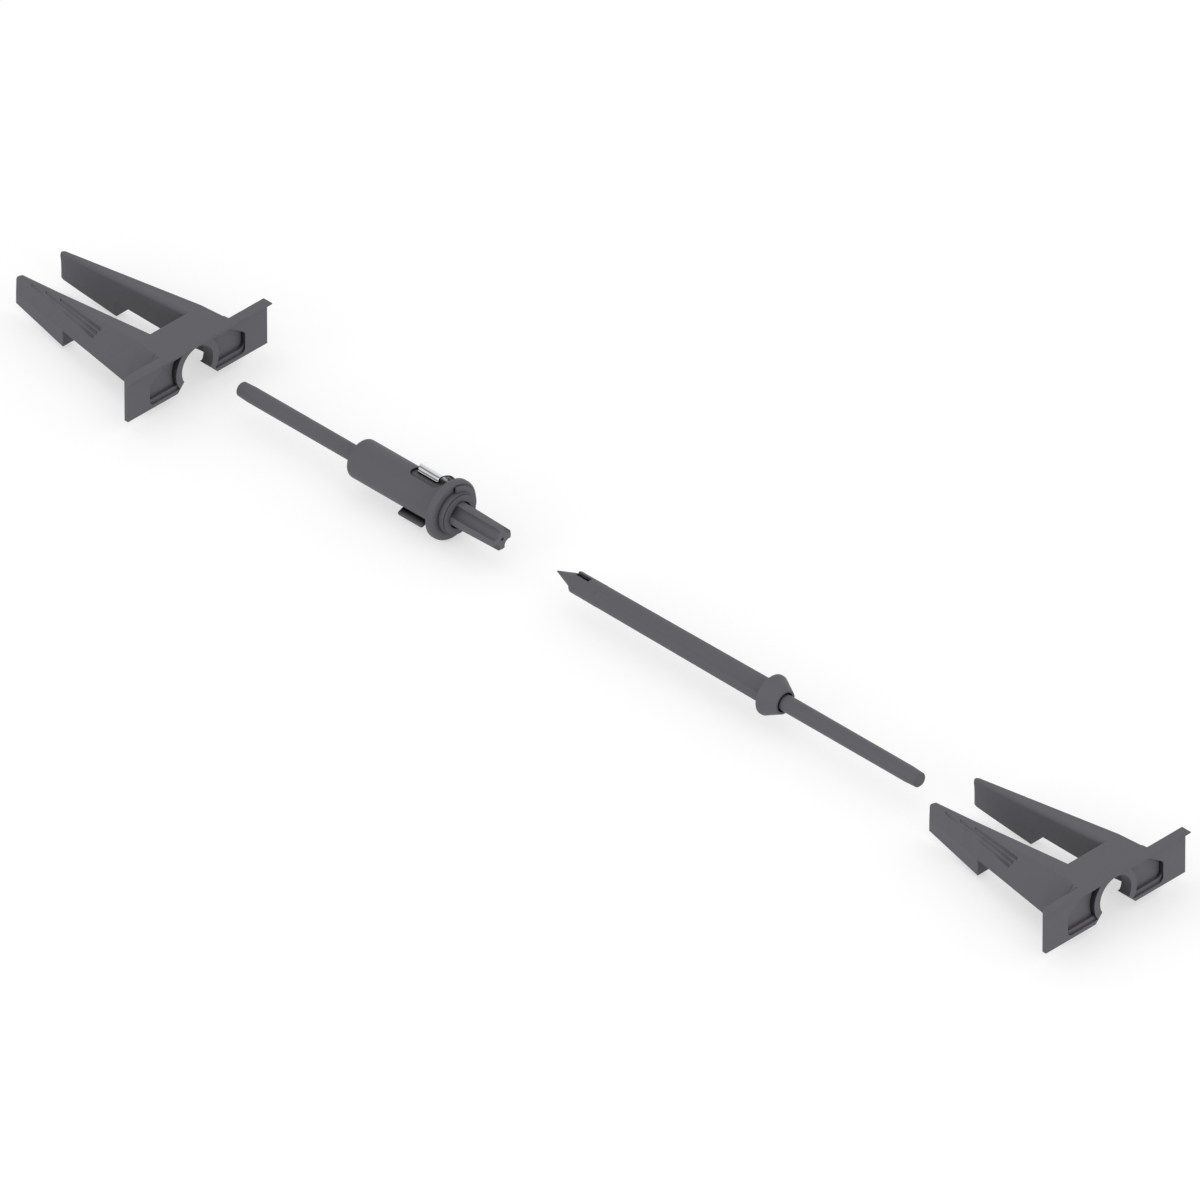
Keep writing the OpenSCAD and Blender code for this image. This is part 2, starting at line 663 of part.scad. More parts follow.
module probe_barrel() {
  flute_from = 8;
  color("#5d5d62") on_axis(barrel_x) difference() {
    union() {
      cylinder(d1 = barrel_front_d, d2 = barrel_rear_d, h = barrel_len);
      cylinder(d = tail_d, h = barrel_len + socket_len);
    }
    translate([0, 0, -1]) cylinder(d = barrel_bore, h = barrel_len + socket_len + 2);
    // The stem's shoulder stops on this step.
    translate([0, 0, stop_x - barrel_x]) cylinder(d = stem_bore, h = barrel_len);
    translate([-barrel_front_d, -slot_w / 2, -1]) cube([barrel_front_d, slot_w, slot_len + 1]);
    // The barrel widens away from the flutes' straight floor, so that they deepen.
    for (i = [0:3]) rotate([0, 0, 45 + 90 * i]) translate([flute_floor + flute_r, 0, flute_from])
      cylinder(r = flute_r, h = barrel_len - flute_from + 1);
  }
}

module guide_bush() {
  color("#d8d8d2") on_axis(guide_x)
    tube(barrel_bore - 2 * seat_gap, core_d + 2 * run_gap, guide_len);
}

module probe_collar() {
  recess_len = 1.6;
  color("#626267") on_axis(collar_x) difference() {
    rotate_extrude() polygon([[0, 0], [collar_d / 2 - 0.2, 0], [collar_d / 2, 0.2],
                              [collar_d / 2, collar_rim], [collar_face_d / 2, collar_len],
                              [0, collar_len]]);
    translate([0, 0, -1]) cylinder(d = tail_d + 2 * seat_gap, h = socket_len + end_gap + 1);
    translate([0, 0, -1]) cylinder(d = stem_bore, h = collar_len + 2);
    translate([0, 0, collar_len - recess_len]) cylinder(d = recess_d, h = recess_len + 1);
  }
}

module core_rod() {
  start = probe_x + 4 + end_gap;
  color("#c9a24a") on_axis(start) cylinder(d = core_d, h = rod_end - start - end_gap);
}

module spring_washer() {
  color("#a9abae") on_axis(washer_x) tube(barrel_bore - 2 * run_gap, rod_bore_seat, washer_t - end_gap);
}

module return_spring() {
  start = guide_x + guide_len + end_gap;
  color("#9fa2a6") on_axis(start) coil(barrel_bore / 2 - 1.5 * wire_d, washer_x - start - end_gap);
}

module probe_stem() {
  length = stem_end - stem_x;
  color("#5e5e63") on_axis(stem_end) rotate([180, 0, 0])
    stem_blank(length, bearing_d, collar_front + end_gap - stem_x, length - rod_grip);
}

holder_a();
holder_b();
connector_stem();
stem_core();
connector_housing();
nose_flange();
lock_ring();
spring_clip();
spring_seat();
spigot_spring();
ribbed_spigot();
contact_sleeve();
probe_barrel();
guide_bush();
probe_collar();
probe_point();
core_rod();
spring_washer();
return_spring();
probe_stem();
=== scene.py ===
# %% [markdown]
# # A test probe set, dressed in Blender
#
# The set has four items on one line: a forked snap holder, a clip-in connector, a plunger probe and
# a second holder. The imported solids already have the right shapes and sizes, so most of the work
# here is finish: moulded grey plastic, a bright sprung clip, wire springs and brass contacts. Two
# kinds of piece are made anew, because a smooth sheet and a round wire look better than their
# plain solids.

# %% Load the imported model
import json
import math
import bmesh
import bpy
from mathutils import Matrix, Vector


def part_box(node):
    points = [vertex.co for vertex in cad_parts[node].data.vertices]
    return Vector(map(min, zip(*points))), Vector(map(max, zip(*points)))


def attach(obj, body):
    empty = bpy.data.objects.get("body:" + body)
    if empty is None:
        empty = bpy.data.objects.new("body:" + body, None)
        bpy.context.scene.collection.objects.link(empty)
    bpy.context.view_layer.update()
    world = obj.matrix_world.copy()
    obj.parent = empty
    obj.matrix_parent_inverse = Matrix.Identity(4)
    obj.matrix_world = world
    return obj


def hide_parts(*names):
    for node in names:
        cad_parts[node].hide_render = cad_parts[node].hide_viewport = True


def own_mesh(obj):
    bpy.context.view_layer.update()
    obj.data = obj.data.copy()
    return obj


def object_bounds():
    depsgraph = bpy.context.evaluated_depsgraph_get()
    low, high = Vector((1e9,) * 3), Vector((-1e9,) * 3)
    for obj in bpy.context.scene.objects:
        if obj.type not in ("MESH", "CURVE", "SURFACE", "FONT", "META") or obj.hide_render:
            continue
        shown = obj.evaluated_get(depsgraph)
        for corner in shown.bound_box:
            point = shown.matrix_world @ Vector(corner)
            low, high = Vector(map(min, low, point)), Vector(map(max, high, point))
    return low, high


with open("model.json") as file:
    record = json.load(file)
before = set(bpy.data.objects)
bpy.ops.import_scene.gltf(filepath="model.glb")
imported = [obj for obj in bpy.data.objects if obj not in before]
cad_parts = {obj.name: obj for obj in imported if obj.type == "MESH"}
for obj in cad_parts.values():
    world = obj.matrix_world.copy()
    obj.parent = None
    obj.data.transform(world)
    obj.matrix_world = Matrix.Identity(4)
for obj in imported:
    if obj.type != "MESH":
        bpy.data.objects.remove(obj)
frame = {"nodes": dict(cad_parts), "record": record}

cad_box = [list(corner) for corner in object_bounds()]
nodes = frame["nodes"]
MM = 0.001
print("the set measures", [round((b - a) / MM, 1) for a, b in zip(*cad_box)], "mm")

# %% [markdown]
# ## Where the common axis runs
#
# Everything that is round lies on one axis, along X. Its height is read from a piece that is
# centred on it, the connector's stem, so the number isn't typed a second time.

# %% Find the axis
stem_low, stem_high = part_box("connector_stem")
AXIS_Z = (stem_low[2] + stem_high[2]) / 2
print("axis height", round(AXIS_Z / MM, 2), "mm")

# %% [markdown]
# ## Camera
#
# The set is seen from 35 degrees above and 45 degrees to the side, with edges that stay parallel.
# An orthographic camera would do that, but its picture gets no wider when it moves back, so the
# other views could cut the set off. A very long lens, far away, gives nearly parallel edges too.

# %% Camera
VIEW_WIDTH = 277.76 * MM                # of the scene, from one side of the render to the other
LENS, SENSOR = 1500.0, 36.0             # in millimetres, as the camera's own fields want them
NEAREST, FARTHEST = 1.0, 40.0           # in metres: what lies between them is drawn
AIM = Vector((0.00818, 0.0, 0.00645))   # this point is in the middle of the render


def new_object(name, data):
    """Make an object and put it in the scene."""
    thing = bpy.data.objects.new(name, data)
    bpy.context.scene.collection.objects.link(thing)
    return thing


camera = new_object("camera", bpy.data.cameras.new("camera"))
camera.data.lens = LENS
camera.data.sensor_width = SENSOR
camera.data.clip_start, camera.data.clip_end = NEAREST, FARTHEST
towards_viewer = Vector((1, -1, 1)).normalized()
camera.location = AIM + towards_viewer * (VIEW_WIDTH * LENS / SENSOR)
camera.rotation_mode = "QUATERNION"
camera.rotation_quaternion = (-towards_viewer).to_track_quat("-Z", "Y")
bpy.context.scene.camera = camera
print("camera stands", round((camera.location - AIM).length, 2), "m away")


# %% [markdown]
# ## Small helpers for shader trees
#
# A node tree is easier to read when adding a node is one line. `add` makes a node, sets its plain
# values, and links whatever is passed as another node's output. The others are its most common
# uses, named for what they do to a value. Groups get their sockets from `interface.new_socket`,
# which is how Blender 4.5 describes the outside of a group.

# %% Add a node
def add(tree, kind, inputs=None, **settings):
    """Add a node. Each of its inputs is a plain value or the output of another node."""
    node = tree.nodes.new(kind)
    for name, value in settings.items():
        setattr(node, name, value)
    for key, value in (inputs or {}).items():
        socket = node.inputs[key]
        if isinstance(value, bpy.types.NodeSocket):
            tree.links.new(value, socket)
        else:
            socket.default_value = value
    return node


def math_node(tree, operation, a, b=0.0, clamp=False):
    return add(tree, "ShaderNodeMath", {0: a, 1: b}, operation=operation,
               use_clamp=clamp).outputs[0]


def plus(tree, a, b, clamp=False):
    return math_node(tree, "ADD", a, b, clamp)


def minus(tree, a, b, clamp=False):
    return math_node(tree, "SUBTRACT", a, b, clamp)


def times(tree, a, b, clamp=False):
    return math_node(tree, "MULTIPLY", a, b, clamp)


print("helpers for one node: add, math_node, plus, minus and times")


# %% Ramps, noises and scaled colours
def ramp(tree, value, start, stop):
    """Nought where the value is at start, one where it is at stop, and even between them."""
    return add(tree, "ShaderNodeMapRange",
               {"Value": value, "From Min": start, "From Max": stop}).outputs[0]


def noise(tree, place, scale, detail, roughness):
    return add(tree, "ShaderNodeTexNoise", {"Vector": place, "Scale": scale, "Detail": detail,
                                            "Roughness": roughness}).outputs["Fac"]


def scaled(tree, color, share):
    """A colour times one number."""
    return add(tree, "ShaderNodeVectorMath", {0: color, "Scale": share},
               operation="SCALE").outputs["Vector"]


print("helpers for values that change: ramp, noise and scaled")


# %% Start a group
def new_group(name, inputs, outputs):
    """An empty shader group. Both lists hold pairs of a label and a kind of socket."""
    tree = bpy.data.node_groups.new(name, "ShaderNodeTree")
    for in_out, sockets in (("INPUT", inputs), ("OUTPUT", outputs)):
        for label, kind in sockets:
            tree.interface.new_socket(label, in_out=in_out, socket_type="NodeSocket" + kind)
    inside = tree.nodes.new("NodeGroupInput").outputs
    outside = tree.nodes.new("NodeGroupOutput").inputs
    return tree, inside, outside


def report_group(tree):
    sockets = [item.name for item in tree.interface.items_tree if item.in_out == "OUTPUT"]
    print(tree.name, "puts out", ", ".join(sockets), "with", len(tree.nodes), "nodes")


print("helpers for groups: new_group and report_group")

# %% [markdown]
# ## Shared effect: rounded edges with a painted highlight
#
# A moulded edge is never sharp. It has a small radius that catches the light differently from the
# faces beside it. Rounding every edge of the solids would cost many faces. The Bevel node does it
# in the shader: it looks at the surface around a point and returns the normal that a rounded edge
# would have. Where that normal leaves the true one there is an edge, so one node gives both the
# rounding and a mask for a rim of another value, which paints a highlight along the edge. Radius is
# the rounding's, in metres. Width multiplies the mask, which makes the rim wider.

# %% Group: soft edge
EDGE_SAMPLES = 6
soft_edge, inside, outside = new_group("soft_edge", [("Radius", "Float"), ("Width", "Float")],
                                       [("Edge", "Float"), ("Normal", "Vector")])
rounded = add(soft_edge, "ShaderNodeBevel", {"Radius": inside["Radius"]},
              samples=EDGE_SAMPLES).outputs[0]
true_normal = add(soft_edge, "ShaderNodeNewGeometry").outputs["Normal"]
same = add(soft_edge, "ShaderNodeVectorMath", {0: rounded, 1: true_normal},
           operation="DOT_PRODUCT").outputs["Value"]
turned = minus(soft_edge, 1.0, same, clamp=True)
soft_edge.links.new(times(soft_edge, turned, inside["Width"], clamp=True), outside["Edge"])
soft_edge.links.new(rounded, outside["Normal"])
report_group(soft_edge)

# %% [markdown]
# ## Shared effect: painted shade in the hollows
#
# Less light reaches the grooves of a moulding and the space between its legs, so they are darker.
# This group paints that shade into the colour. The Ambient Occlusion node tells how much of the
# space in front of a point is open. It is read twice: over a short distance for seams and grooves,
# and over a long one for deep hollows. The long one only looks at the piece itself, so that the
# floor and the neighbours do not darken it, and only at flanks that face along Y, so that faces
# that point forward or up stay as they are. Fine grooves in a flank are too shallow to be dark by
# themselves, so Lines lifts even a faint hollow to one even, darker value of painted shade.

# %% How closed in a point is
OPEN_SAMPLES = 8
FAR_REACH = 25 * MM       # of the look for deep hollows
NEAR_STARTS = 0.005       # a seam counts as soon as this share of the space is closed
FAR_STARTS = 0.20         # a deep hollow counts from this share on
LINES_GAIN = 16.0         # lifts a faint groove to full strength
painted_cavity_shade, inside, outside = new_group(
    "painted_cavity_shade",
    [(label, "Float") for label in ("Near", "Near Depth", "Far Depth", "Lines")],
    [("Shade", "Float")])


def closed_share(reach, own_piece_only, starts_at):
    """Nought in the open, rising to one where everything within reach is closed."""
    free = add(painted_cavity_shade, "ShaderNodeAmbientOcclusion", {"Distance": reach},
               samples=OPEN_SAMPLES, only_local=own_piece_only).outputs["AO"]
    return ramp(painted_cavity_shade, free, 1.0 - starts_at, 0.0)


near_closed = closed_share(inside["Near"], False, NEAR_STARTS)
far_closed = closed_share(FAR_REACH, True, FAR_STARTS)
true_face = add(painted_cavity_shade, "ShaderNodeNewGeometry").outputs["True Normal"]
facing = add(painted_cavity_shade, "ShaderNodeSeparateXYZ", {0: true_face}).outputs
flank = math_node(painted_cavity_shade, "ABSOLUTE", facing["Y"])
print("hollows are looked for", FAR_REACH / MM, "mm away")


# %% Group: painted cavity shade
def darker(shade, where, depth):
    """The shade, taken down by this depth where the mask says so."""
    left = minus(painted_cavity_shade, 1.0, times(painted_cavity_shade, where, depth), clamp=True)
    return times(painted_cavity_shade, shade, left)


deep = times(painted_cavity_shade, far_closed, flank)
grooves = times(painted_cavity_shade, times(painted_cavity_shade, near_closed, LINES_GAIN, clamp=True), flank)
# Painted shade: the colour is darkened in seams, in deep flanks and along grooves.
shade = darker(1.0, near_closed, inside["Near Depth"])
shade = darker(shade, deep, inside["Far Depth"])
shade = darker(shade, grooves, inside["Lines"])
painted_cavity_shade.links.new(shade, outside["Shade"])
report_group(painted_cavity_shade)

# %% [markdown]
# ## Shared effect: moulded grain
#
# The mould is spark-eroded, which leaves a very fine even texture in the plastic. A picture of such
# a texture would have to be wrapped round each piece. Two noises need no wrapping and are enough: a
# fine one for the grain that the bump reads, and a broad faint one, so that no face is one flat
# value. Both read Object coordinates in metres, so the scale is in features per metre.

# %% Group: moulded grain
CLOUDS = 140.0            # broad clouds per metre
GRAIN_SHARE = 0.4         # of the mottle. The clouds have the rest
ROUGHNESS_SWING = 0.18    # between the smoothest and the roughest grain
moulded_grain, inside, outside = new_group(
    "moulded_grain",
    [("Color", "Color"), ("Mottle", "Float"), ("Roughness", "Float"), ("Grain Size", "Float")],
    [("Color", "Color"), ("Roughness", "Float"), ("Height", "Float")])
place = add(moulded_grain, "ShaderNodeTexCoord").outputs["Object"]
per_metre = math_node(moulded_grain, "DIVIDE", 1.0, inside["Grain Size"])
grain = noise(moulded_grain, place, per_metre, detail=2.0, roughness=0.6)
cloud = noise(moulded_grain, place, CLOUDS, detail=3.0, roughness=0.5)
both = plus(moulded_grain, times(moulded_grain, grain, GRAIN_SHARE),
            times(moulded_grain, cloud, 1.0 - GRAIN_SHARE))
# Both noises are near a half, so level is near one, and Mottle says how far it may leave it.
swing = times(moulded_grain, minus(moulded_grain, both, 0.5), inside["Mottle"])
level = plus(moulded_grain, times(moulded_grain, swing, 2.0), 1.0)
rough = plus(moulded_grain, inside["Roughness"],
             times(moulded_grain, minus(moulded_grain, grain, 0.5), ROUGHNESS_SWING))
moulded_grain.links.new(scaled(moulded_grain, inside["Color"], level), outside["Color"])
moulded_grain.links.new(rough, outside["Roughness"])
moulded_grain.links.new(grain, outside["Height"])
report_group(moulded_grain)

# %% [markdown]
# ## Shared effect: drawn metal
#
# Sheet and wire are pulled through rolls or dies, which leaves fine lines along one direction. A
# noise that is stretched along X gives lines that run the length of the piece. It sets both how
# bright and how rough each line is. Dark is the value of the darkest lines, and Across is how many
# lines cross a metre.

# %% The lines of drawn metal
ALONG = 40.0                            # lines per metre along the pull, so each is long
DARK_LINE, BRIGHT_METAL = 0.38, 0.60    # noise values of a dark line and of bright metal
drawn_lines, inside, outside = new_group(
    "drawn_lines",
    [("Color", "Color")] + [(label, "Float") for label in ("Dark", "Roughness", "Across", "Painted Reflection")],
    [("Color", "Color"), ("Roughness", "Float"), ("Height", "Float")])
place = add(drawn_lines, "ShaderNodeTexCoord").outputs["Object"]
stretch = add(drawn_lines, "ShaderNodeCombineXYZ",
              {0: ALONG, 1: inside["Across"], 2: inside["Across"]}).outputs[0]
thin = add(drawn_lines, "ShaderNodeVectorMath", {0: place, 1: stretch},
           operation="MULTIPLY").outputs["Vector"]
lines = noise(drawn_lines, thin, 1.0, detail=3.0, roughness=0.65)
bright = ramp(drawn_lines, lines, DARK_LINE, BRIGHT_METAL)
brightness = plus(drawn_lines, inside["Dark"],
                  times(drawn_lines, bright, minus(drawn_lines, 1.0, inside["Dark"])))
print("a line is", round(1000 / ALONG), "mm long")

# %% [markdown]
# ## Shared effect, continued: the painted dark reflection beside a bend
#
# The clip has a band of darker lines beside its lip. It is a painted dark reflection, as if the
# bent sheet mirrored something dark. Object coordinates place it: it starts just behind the lip's
# bend and fades out over the bow. The bend value of each metal sets how strong it is, and wire and
# contacts leave it at zero.

# %% Group: drawn lines
BAND_STARTS, BAND_FULL, BAND_ENDS = 0.88 * MM, 1.10 * MM, 2.4 * MM   # all measured along Y
BAND_DEPTH = 1.6          # of the band in a dark line. In bright metal it is one less
LINE_ROUGHNESS = 0.12     # the most that the noise adds to the roughness
# Painted dark reflection: a band of darker lines just behind the lip's bend.
beside = add(drawn_lines, "ShaderNodeSeparateXYZ", {0: place}).outputs["Y"]
starts = ramp(drawn_lines, beside, BAND_STARTS, BAND_FULL)
fades = ramp(drawn_lines, beside, BAND_ENDS, BAND_FULL)
band = times(drawn_lines, times(drawn_lines, starts, fades), inside["Painted Reflection"])
depth = times(drawn_lines, band, minus(drawn_lines, BAND_DEPTH, bright))
brightness = minus(drawn_lines, brightness, depth, clamp=True)
rough = plus(drawn_lines, inside["Roughness"], times(drawn_lines, lines, LINE_ROUGHNESS))
drawn_lines.links.new(scaled(drawn_lines, inside["Color"], brightness), outside["Color"])
drawn_lines.links.new(rough, outside["Roughness"])
drawn_lines.links.new(lines, outside["Height"])
report_group(drawn_lines)

# %% [markdown]
# ## From shared effects to a material
#
# Every finish is put together in the same order: a pattern for the faces, a rim of painted
# highlight over its edges, painted shade in its hollows, and a fine relief. One function does that
# for plastic and metal alike. The Principled shader stays in the material, and only values that
# change over the surface come out of the groups. Numbers that are the same all over are set on the
# shader's own sockets.

# %% Start a material
finishes = {}


def opaque(color, value=1.0):
    """A colour for a socket, made lighter or darker by value."""
    return tuple(min(1.0, value * c) for c in color) + (1.0,)


def start_material(name):
    """A material with a Principled shader, kept in finishes under its name."""
    material = bpy.data.materials.new(name)
    material.use_nodes = True
    tree = material.node_tree
    tree.nodes.clear()
    shader = add(tree, "ShaderNodeBsdfPrincipled")
    add(tree, "ShaderNodeOutputMaterial", {"Surface": shader.outputs[0]})
    finishes[name] = material
    return tree, shader


print("a colour for a socket has", len(opaque((0.5, 0.5, 0.5))), "numbers")

# %% Cover a surface
RELIEF = 0.02 * MM                      # height of the grain and of the drawn lines
MIX_A, MIX_B, MIX_RESULT = 6, 7, 2      # where a Mix node has its colours


def cover(tree, shader, pattern, edge, rim, hollows, bump):
    """Lay the rim and the painted shade of the hollows over the pattern, and feed the shader."""
    # The rim is a painted highlight on the edges; a rim value below one paints shade there instead.
    edged = add(tree, "ShaderNodeMix", {"Factor": edge.outputs["Edge"], MIX_B: rim,
                                        MIX_A: pattern.outputs["Color"]}, data_type="RGBA")
    cavity = add(tree, "ShaderNodeGroup", hollows, node_tree=painted_cavity_shade)
    color = scaled(tree, edged.outputs[MIX_RESULT], cavity.outputs["Shade"])
    relief = add(tree, "ShaderNodeBump", {"Strength": bump, "Distance": RELIEF,
                                          "Height": pattern.outputs["Height"],
                                          "Normal": edge.outputs["Normal"]})
    tree.links.new(color, shader.inputs["Base Color"])
    tree.links.new(pattern.outputs["Roughness"], shader.inputs["Roughness"])
    tree.links.new(relief.outputs[0], shader.inputs["Normal"])


print("relief of the finishes", RELIEF / MM, "mm")

# %% [markdown]
# ## Moulded plastic
#
# Most of the set is the same dark grey plastic with a dull face and a hair of blue in it. Each
# moulding came from its own tool, so each gets its own slightly different value and grain. One
# function with many named values makes them all, so a reader sees at once how two of them differ.


# %% Plastic
MOTTLE = 0.05                       # how far the broad clouds change the colour
DULL = 0.25                         # specular level, half of the shader's default


def plastic(name, color, roughness=0.55, grain=0.35 * MM, radius=0.20 * MM, rim=1.35,
            rim_width=1.6, seams=0.8, seam_reach=0.9 * MM, hollows=0.2, lines=0.0):
    """Grain size, the radius of its edges and the value of the rim of painted highlight on them,
    and how dark the painted shade in seams, deep hollows and fine lines is."""
    tree, shader = start_material(name)
    pattern = add(tree, "ShaderNodeGroup", {"Color": opaque(color), "Mottle": MOTTLE,
                                            "Roughness": roughness, "Grain Size": grain},
                  node_tree=moulded_grain)
    edge = add(tree, "ShaderNodeGroup", {"Radius": radius, "Width": rim_width},
               node_tree=soft_edge)
    cover(tree, shader, pattern, edge, opaque(color, rim),
          {"Near": seam_reach, "Near Depth": seams, "Far Depth": hollows, "Lines": lines},
          bump=0.35)
    shader.inputs["Specular IOR Level"].default_value = DULL


GREY = (0.1085, 0.1055, 0.1190)


def grey(value):
    """The set's grey, made lighter or darker by value."""
    return tuple(value * c for c in GREY)


print("the plastic is grey", GREY)

# %% [markdown]
# ## The holders' plastic
#
# The holders are thin mouldings with open legs, snap notches and fine grip grooves, so they get the
# most painted shade: the inside of a leg is painted clearly darker than its outside, and each
# groove gets a painted dark line.

# %% Finish of the holders
# Painted shade: deep between the legs, and a dark line along each grip groove.
plastic("holder_plastic", grey(1.01), grain=0.40 * MM, seams=0.4, hollows=1.35, lines=0.27)
print("the holders have", ", ".join(finishes))

# %% [markdown]
# ## The connector's plastics
#
# The connector has a thin stem, a plain barrel as its housing, a flange, a lock ring and a ribbed
# spigot. Each edge gets a rim of painted highlight, lighter than its faces. The housing is the
# exception: its rim is painted shade, a darker value on its edges that shows most along the groove
# that the clip works in, and its seams paint a wide dark band under the clip's foot. The seam
# beside the flange is deep, so the painted shade reaches further there. The small pieces in front
# get little of it.

# %% Finishes of the connector
plastic("stem_plastic", grey(0.98), roughness=0.5, grain=0.30 * MM)
# The housing's rim is painted shade on its edges, and its seams paint a wide dark band under the
# clip.
plastic("housing_plastic", grey(0.97), radius=0.35 * MM, rim=0.35, rim_width=4.0, seams=2.2,
        seam_reach=2.0 * MM)
plastic("flange_plastic", grey(0.97), seams=1.3, seam_reach=1.2 * MM)
plastic("ring_plastic", grey(1.03), grain=0.30 * MM, radius=0.12 * MM, seams=0.5)
plastic("spigot_plastic", grey(1.06), grain=0.30 * MM, radius=0.12 * MM, seams=0.0)
print("with the connector:", len(finishes), "finishes")

# %% [markdown]
# ## The probe's plastics
#
# The probe's barrel, collar and point are three mouldings that meet in plain seams. The bush that
# guides the rod inside is a bearing plastic, which is left in its natural cream colour.

# %% Finishes of the probe
BUSH_CREAM = (0.62, 0.62, 0.58)
# The barrel's seams paint shade into its flutes.
plastic("barrel_plastic", grey(0.97), radius=0.12 * MM, seams=0.6, seam_reach=1.2 * MM)
plastic("collar_plastic", grey(1.02))
plastic("point_plastic", grey(1.00), grain=0.30 * MM, radius=0.10 * MM)
plastic("bush_plastic", BUSH_CREAM, roughness=0.4, grain=0.30 * MM)
print("with the probe:", len(finishes), "finishes")

# %% [markdown]
# ## Metal and the clip's coat
#
# The clip is bright rolled spring steel. Its release tab has a dark coat, which is a plastic. The
# coat is painted half again lighter than the set's grey, as painted light against the barrel's
# shade over it. The clip's sheared edge is dull, because it was never rolled, and its nearly black
# colour is painted shade. The springs are plain steel wire and the contacts are brass. A metal's
# colour is the colour of its reflections, so the steel is nearly white and the lines in it do the
# rest.


# %% Metal
METAL_EDGE = {"Radius": 0.06 * MM, "Width": 4.0}
# Painted shade on metal: darker within 2.2 mm of any surface close by, as under the clip's lip.
METAL_HOLLOWS = {"Near": 2.2 * MM, "Near Depth": 1.5, "Far Depth": 0.0, "Lines": 0.0}
# The rim is a painted highlight on metal edges.
METAL_RIM = 1.1                     # value of the rim against the faces


def metal(name, color, roughness, dark, across=2500.0, bend=0.0):
    """How rough and how dark its lines are, how many cross a metre, and how strong the painted dark
    reflection beside a bend is.
    """
    tree, shader = start_material(name)
    pattern = add(tree, "ShaderNodeGroup", {"Color": opaque(color), "Dark": dark,
                                            "Roughness": roughness, "Across": across,
                                            "Painted Reflection": bend}, node_tree=drawn_lines)
    edge = add(tree, "ShaderNodeGroup", METAL_EDGE, node_tree=soft_edge)
    cover(tree, shader, pattern, edge, opaque(color, METAL_RIM), METAL_HOLLOWS, bump=0.15)
    shader.inputs["Metallic"].default_value = 1.0


print("a metal edge is rounded to", METAL_EDGE["Radius"] / MM, "mm")

# %% Finishes of the clip, the springs and the contacts
ROLLED_STEEL, SHEARED_STEEL_AND_SHADE = (0.96, 0.97, 0.98), (0.06, 0.06, 0.065)
WIRE_STEEL, BRASS = (0.55, 0.56, 0.58), (0.78, 0.60, 0.28)
metal("clip_steel", ROLLED_STEEL, roughness=0.14, dark=0.90, across=4000.0, bend=0.55)
# The coat's grey is lifted to 1.5 times the set's as painted light, and its seams paint a dark
# wedge of shade at its root under the barrel.
plastic("tab_coat", grey(1.50), roughness=0.45, grain=0.25 * MM, radius=0.08 * MM, seams=2.0,
        seam_reach=2.2 * MM)
# The sheared edge is dull, and its nearly black colour is painted shade.
metal("cut_edge", SHEARED_STEEL_AND_SHADE, roughness=0.5, dark=0.8)
metal("spring_steel", WIRE_STEEL, roughness=0.28, dark=0.7)
metal("contact_brass", BRASS, roughness=0.25, dark=0.8)
print(len(finishes), "finishes in all")

# %% [markdown]
# ## Dress the solids
#
# The record says which finish each node has. A node keeps its mesh, and only its material slot
# changes, so nothing moves away from where the model has it. The flange shares its slot with the
# housing, but it is a moulding of its own, so it gets its own finish.

# %% Give every node its finish
slot_of = {part["node"]: part["material_slot"] for part in frame["record"]["subparts"]}
for name, piece in nodes.items():
    piece.data.materials.clear()
    piece.data.materials.append(finishes[slot_of[name]])
nodes["nose_flange"].data.materials[0] = finishes["flange_plastic"]
print("dressed", len(nodes), "nodes")

# %% [markdown]
# ## The springs, with Geometry Nodes
#
# A coil spring is a wire that follows a rule: so many turns, one radius, one height. Its points
# could be computed one by one, but a shape with a rule is what Geometry Nodes is good at. A Curve
# Spiral draws the path, a small circle is swept along it, and Set Material finishes it. The sizes
# are inputs of the tree, so both springs use the same tree.


# %% Build the spring tree
TURN_STEPS, WIRE_SIDES = 28, 10


def spring_tree():
    """The tree, and the identifiers of its inputs by their labels."""
    tree = bpy.data.node_groups.new("wire_spring", "GeometryNodeTree")
    sockets = {}
    for label, kind in (("Turns", "Float"), ("Mean Radius", "Float"), ("Length", "Float"),
                        ("Wire Radius", "Float"), ("Finish", "Material")):
        socket = tree.interface.new_socket(label, in_out="INPUT", socket_type="NodeSocket" + kind)
        sockets[label] = socket.identifier
    tree.interface.new_socket("Geometry", in_out="OUTPUT", socket_type="NodeSocketGeometry")
    given = tree.nodes.new("NodeGroupInput").outputs
    path = add(tree, "GeometryNodeCurveSpiral",
               {"Resolution": TURN_STEPS, "Rotations": given["Turns"],
                "Start Radius": given["Mean Radius"], "End Radius": given["Mean Radius"],
                "Height": given["Length"]})
    ring = add(tree, "GeometryNodeCurvePrimitiveCircle",
               {"Resolution": WIRE_SIDES, "Radius": given["Wire Radius"]})
    wire = add(tree, "GeometryNodeCurveToMesh",
               {"Curve": path.outputs[0], "Profile Curve": ring.outputs[0], "Fill Caps": True})
    smooth = add(tree, "GeometryNodeSetShadeSmooth", {"Geometry": wire.outputs[0]})
    real = add(tree, "GeometryNodeRealizeInstances", {"Geometry": smooth.outputs[0]})
    done = add(tree, "GeometryNodeSetMaterial",
               {"Geometry": real.outputs[0], "Material": given["Finish"]})
    tree.links.new(done.outputs[0], tree.nodes.new("NodeGroupOutput").inputs[0])
    return tree, sockets


wire_spring, spring_socket = spring_tree()
print("spring tree with", ", ".join(spring_socket))

# %% [markdown]
# ## Wind both springs
#
# Each spring takes its length and its outer radius from the box of the solid that it stands for.
# The result of the tree is stored as a plain mesh, turned from Z to X, and put in its place on the
# axis.


